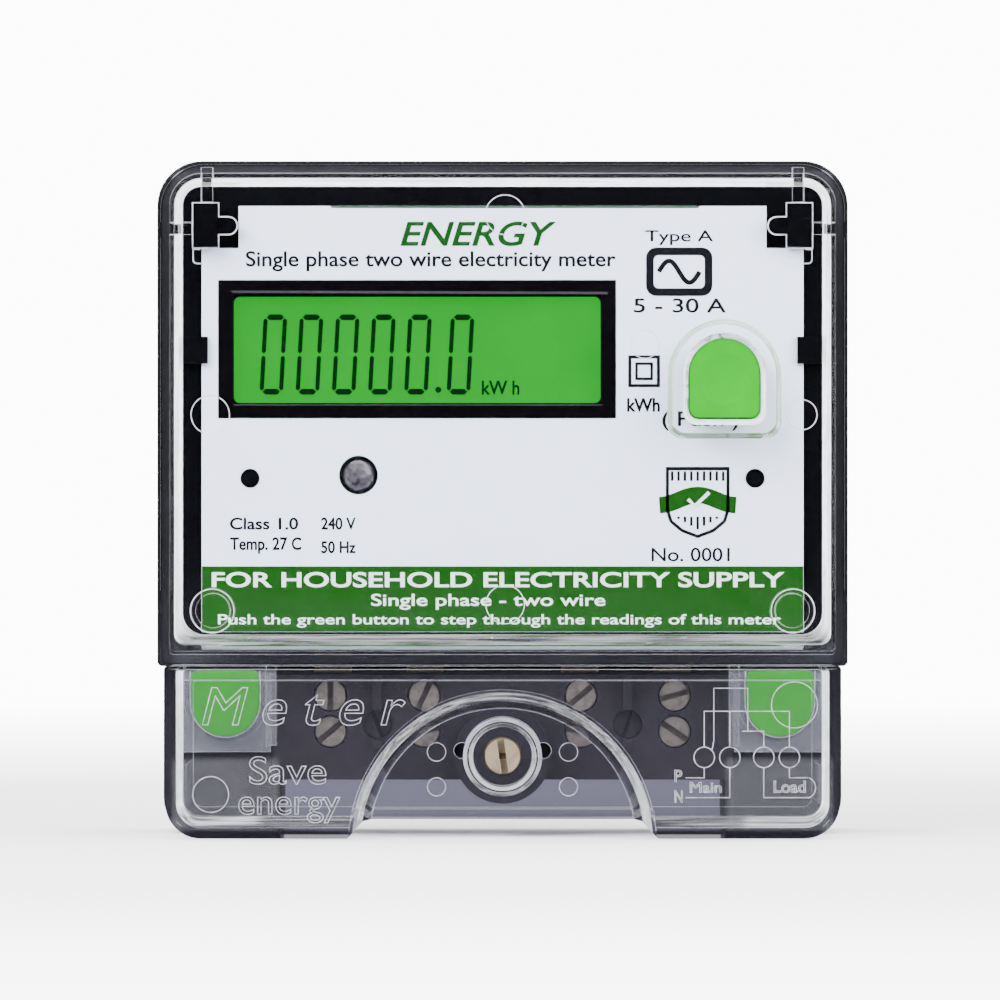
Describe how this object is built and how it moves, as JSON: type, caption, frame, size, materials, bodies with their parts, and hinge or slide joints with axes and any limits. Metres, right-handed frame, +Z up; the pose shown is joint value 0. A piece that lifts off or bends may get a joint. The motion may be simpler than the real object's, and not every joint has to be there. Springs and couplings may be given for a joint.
{
  "type": "electricity meter",
  "caption": "Single-phase electricity meter: dark base with rail latch, clear front over a dial with lit display and push button, smoked cover over four terminals.",
  "frame": {"origin": "on the rail's centre line, mid-width, in the plane of the back (wall) face", "axes": "+X to the right seen from the front, +Y towards the wall, +Z up; the display faces -Y"},
  "size_m": [0.109, 0.0503, 0.106],
  "materials": {
    "black_case": "fine moulded texture, near-black polycarbonate",
    "clear_cover": "clear moulded polycarbonate",
    "gasket": "matt sealing cord",
    "steel": "zinc-plated screw",
    "green_plug": "satin moulded plastic",
    "smoked_cover": "lightly smoked moulded polycarbonate",
    "pale_brass": "nickel-washed brass",
    "brass": "drawn brass, machined faces",
    "green_button": "translucent satin plastic",
    "spring_steel": "drawn spring wire",
    "black_frame": "fine moulded texture",
    "white_plate": "printed satin polycarbonate sheet",
    "black_bezel": "satin moulded plastic",
    "display": "lit display with dark segments",
    "light_guide": "milky light guide",
    "tinned_wire": "tinned pins",
    "led_lens": "clear epoxy lens",
    "chip_black": "matt epoxy",
    "board_green": "solder mask over glass fibre",
    "can_steel": "drawn can",
    "capacitor_sleeve": "shrink sleeve",
    "film_yellow": "moulded box",
    "varistor_blue": "dipped epoxy",
    "cell_wrap": "shrink wrap",
    "resistor_tan": "lacquered film",
    "connector_white": "moulded nylon",
    "block_black": "glass-filled moulding",
    "plated_screw": "nickel-plated steel",
    "black_screw": "blackened steel",
    "shunt_alloy": "resistance alloy strip",
    "copper": "tinned copper strip",
    "core_blue": "taped ring core",
    "wire_red": "soft insulation",
    "wire_black": "soft insulation",
    "wire_white": "soft insulation",
    "latch_black": "moulded acetal"
  },
  "bodies": {
    "meter_case": {"base_housing": "black_case", "top_cover": "clear_cover", "cover_gasket": "gasket", "cover_screws": "steel", "seal_plug_left": "green_plug", "seal_plug_right": "green_plug", "sealing_insert": "brass", "button_spring": "spring_steel", "dial_frame": "black_frame", "nameplate": "white_plate", "display_bezel": "black_bezel", "lcd_glass": "display", "lcd_backlight": "light_guide", "lcd_pins": "tinned_wire", "pulse_led": "led_lens", "tact_switch": "chip_black", "main_board": "board_green", "board_screws": "steel", "microcontroller": "chip_black", "metering_chip": "chip_black", "crystal": "can_steel", "electrolytic_capacitors": "capacitor_sleeve", "film_capacitor": "film_yellow", "varistor": "varistor_blue", "optocoupler": "chip_black", "backup_cell": "cell_wrap", "resistor_bank": "resistor_tan", "board_connector": "connector_white", "terminal_block": "block_black", "block_screws": "black_screw", "brass_terminal_1": "brass", "brass_terminal_2": "brass", "brass_terminal_3": "brass", "brass_terminal_4": "brass", "shunt_strip": "shunt_alloy", "neutral_link": "copper", "current_transformer": "core_blue", "shunt_lead_red": "wire_red", "shunt_lead_black": "wire_black", "neutral_lead": "wire_white", "latch_spring": "spring_steel"},
    "terminal_cover": {"terminal_cover": "smoked_cover"},
    "sealing_screw": {"sealing_screw": "pale_brass"},
    "push_button": {"push_button": "green_button"},
    "rail_latch": {"rail_latch": "latch_black"},
    "clamp_screw_1_upper": {"clamp_screw_1_upper": "plated_screw"},
    "clamp_screw_1_lower": {"clamp_screw_1_lower": "plated_screw"},
    "clamp_screw_2_upper": {"clamp_screw_2_upper": "plated_screw"},
    "clamp_screw_2_lower": {"clamp_screw_2_lower": "plated_screw"},
    "clamp_screw_3_upper": {"clamp_screw_3_upper": "plated_screw"},
    "clamp_screw_3_lower": {"clamp_screw_3_lower": "plated_screw"},
    "clamp_screw_4_upper": {"clamp_screw_4_upper": "plated_screw"},
    "clamp_screw_4_lower": {"clamp_screw_4_lower": "plated_screw"}
  },
  "joints": [
    {"name": "button_press", "type": "slide", "parent": "meter_case", "child": "push_button", "axis": [0, 1, 0], "range_m": [0, 0.0015], "stiffness_N_per_m": 150, "springref_m": -0.002, "deforming": ["button_spring"]},
    {"name": "terminal_cover_off", "type": "slide", "parent": "meter_case", "child": "terminal_cover", "axis": [0, -1, 0], "range_m": [0, 0.04]},
    {"name": "sealing_screw_turn", "type": "hinge", "parent": "terminal_cover", "child": "sealing_screw", "pos_m": [0, -0.036, -0.0403], "axis": [0, -1, 0], "continuous": true},
    {"name": "latch_release", "type": "slide", "parent": "meter_case", "child": "rail_latch", "axis": [0, 0, -1], "range_m": [0, 0.0045], "stiffness_N_per_m": 800, "springref_m": -0.004, "deforming": ["latch_spring"]},
    {"name": "clamp_1_upper_tighten", "type": "slide", "parent": "meter_case", "child": "clamp_screw_1_upper", "axis": [0, 1, 0], "range_m": [0, 0.003]},
    {"name": "clamp_1_lower_tighten", "type": "slide", "parent": "meter_case", "child": "clamp_screw_1_lower", "axis": [0, 1, 0], "range_m": [0, 0.003]},
    {"name": "clamp_2_upper_tighten", "type": "slide", "parent": "meter_case", "child": "clamp_screw_2_upper", "axis": [0, 1, 0], "range_m": [0, 0.003]},
    {"name": "clamp_2_lower_tighten", "type": "slide", "parent": "meter_case", "child": "clamp_screw_2_lower", "axis": [0, 1, 0], "range_m": [0, 0.003]},
    {"name": "clamp_3_upper_tighten", "type": "slide", "parent": "meter_case", "child": "clamp_screw_3_upper", "axis": [0, 1, 0], "range_m": [0, 0.003]},
    {"name": "clamp_3_lower_tighten", "type": "slide", "parent": "meter_case", "child": "clamp_screw_3_lower", "axis": [0, 1, 0], "range_m": [0, 0.003]},
    {"name": "clamp_4_upper_tighten", "type": "slide", "parent": "meter_case", "child": "clamp_screw_4_upper", "axis": [0, 1, 0], "range_m": [0, 0.003]},
    {"name": "clamp_4_lower_tighten", "type": "slide", "parent": "meter_case", "child": "clamp_screw_4_lower", "axis": [0, 1, 0], "range_m": [0, 0.003]}
  ]
}
